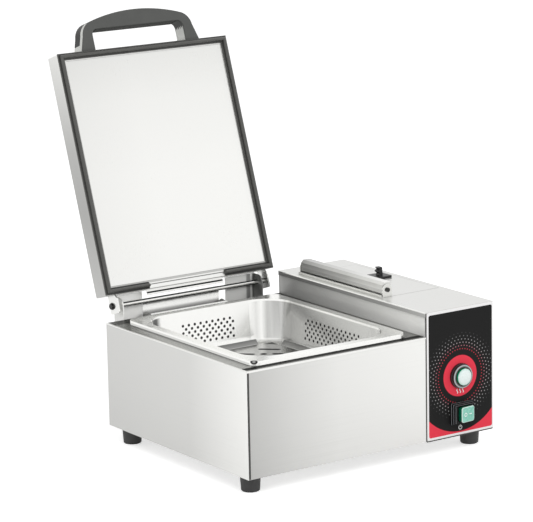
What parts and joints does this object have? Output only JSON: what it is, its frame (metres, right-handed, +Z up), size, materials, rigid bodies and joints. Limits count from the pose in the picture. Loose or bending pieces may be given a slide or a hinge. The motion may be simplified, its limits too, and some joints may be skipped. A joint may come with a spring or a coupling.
{
  "type": "countertop pan steamer",
  "caption": "Countertop steamer: a lift-out perforated pan under a hinged insulated lid, with a control housing and a water tank under a flap on the right",
  "frame": {"origin": "on the table, below the middle of the whole steamer with its lid open", "axes": "+Z up, +X to the right seen from the front, +Y to the back; the controls face -Y"},
  "size_m": [0.4316, 0.5499, 0.611],
  "materials": {
    "steel_brushed": "satin brushed stainless sheet",
    "steel_satin": "fine satin stainless sheet",
    "steel_polished": "drawn and polished stainless sheet",
    "steel_plain": "plain mill-finish steel",
    "zinc_steel": "zinc-plated steel",
    "cast_aluminium": "machined cast aluminium",
    "heater_sheath": "dull heater sheath",
    "black_rubber": "moulded dark grey rubber",
    "seal_rubber": "extruded grey-black rubber",
    "hose_silicone": "milky silicone",
    "handle_dark": "fine-textured dark grey plastic",
    "handle_light": "fine-textured light grey plastic",
    "black_plastic": "moulded black plastic",
    "panel_print": "printed overlay, black with a red disc, dot rings and a white border",
    "clear_ring": "grey translucent ring",
    "button_green": "translucent mint green cap",
    "rocker_green": "translucent green rocker",
    "blanket": "pressed mineral fibre",
    "bakelite": "dark brown moulded plastic",
    "tank_plastic": "milky white plastic",
    "board_green": "circuit board"
  },
  "bodies": {
    "casing": {"base_tray": "steel_brushed", "feet": "black_rubber", "foot_screws": "zinc_steel", "left_side_panel": "steel_brushed", "front_panel": "steel_brushed", "rear_panel": "steel_brushed", "right_side_panel": "steel_brushed", "deck": "steel_satin", "housing_inner_wall": "steel_brushed", "housing_top_cover": "steel_satin", "control_fascia": "steel_satin", "control_overlay": "panel_print", "casing_screws": "zinc_steel", "well_liner": "steel_polished", "steam_plate": "cast_aluminium", "heating_element": "heater_sheath", "heat_shield": "steel_plain", "heater_blanket": "blanket", "thermostat": "bakelite", "safety_cutout": "bakelite", "hinge_bracket_left": "steel_plain", "hinge_bracket_right": "steel_plain", "bracket_screws": "zinc_steel", "drip_channel": "steel_satin", "flap_hinge_base": "steel_satin", "flap_hinge_rod": "zinc_steel", "water_tank": "tank_plastic", "tank_strainer": "black_plastic", "pump": "bakelite", "pump_bracket": "zinc_steel", "suction_hose": "hose_silicone", "delivery_hose": "hose_silicone", "water_pipe": "steel_plain", "terminal_block": "tank_plastic", "timer_board": "board_green", "cord_gland": "black_plastic", "button_bezel": "black_plastic", "button_contact": "black_plastic", "button_spring": "zinc_steel", "switch_housing": "black_plastic"},
    "lid": {"hinge_rod": "steel_polished", "pivot_screws": "zinc_steel", "lid_shell": "steel_brushed", "lid_inner_panel": "steel_satin", "lid_insulation": "blanket", "lid_gasket": "seal_rubber", "lid_hinge_channel": "steel_satin", "handle_core": "handle_light", "handle_front_cover": "handle_dark", "handle_back_cover": "handle_dark", "handle_band": "black_plastic", "handle_screws": "zinc_steel"},
    "flap": {"flap_hinge_channel": "steel_satin", "tank_flap": "steel_satin", "flap_tab": "black_plastic"},
    "pan": {"steam_pan": "steel_polished"},
    "plate": {"slotted_plate": "steel_polished"},
    "button": {"steam_button": "button_green"},
    "rocker": {"power_rocker": "rocker_green"}
  },
  "joints": [
    {"name": "lid_hinge", "type": "hinge", "parent": "casing", "child": "lid", "pos_m": [-0.061, 0.11993, 0.1973], "axis": [-1, 0, 0], "range_deg": [-108.8, 0]},
    {"name": "pan_lift", "type": "slide", "parent": "casing", "child": "pan", "axis": [0, 0, 1], "range_m": [0, 0.075]},
    {"name": "plate_lift", "type": "slide", "parent": "pan", "child": "plate", "axis": [0, 0, 1], "range_m": [0, 0.07]},
    {"name": "flap_hinge", "type": "hinge", "parent": "casing", "child": "flap", "pos_m": [0.1115, -0.03882, 0.224], "axis": [0, -1, 0], "range_deg": [0, 110]},
    {"name": "steam_button_press", "type": "slide", "parent": "casing", "child": "button", "axis": [0, 1, 0], "range_m": [0, 0.003], "stiffness_N_per_m": 350, "springref_m": -0.002},
    {"name": "power_rocker_tilt", "type": "hinge", "parent": "casing", "child": "rocker", "pos_m": [0.154, -0.26437, 0.0582], "axis": [0, 0, -1], "range_deg": [0, 12]}
  ]
}
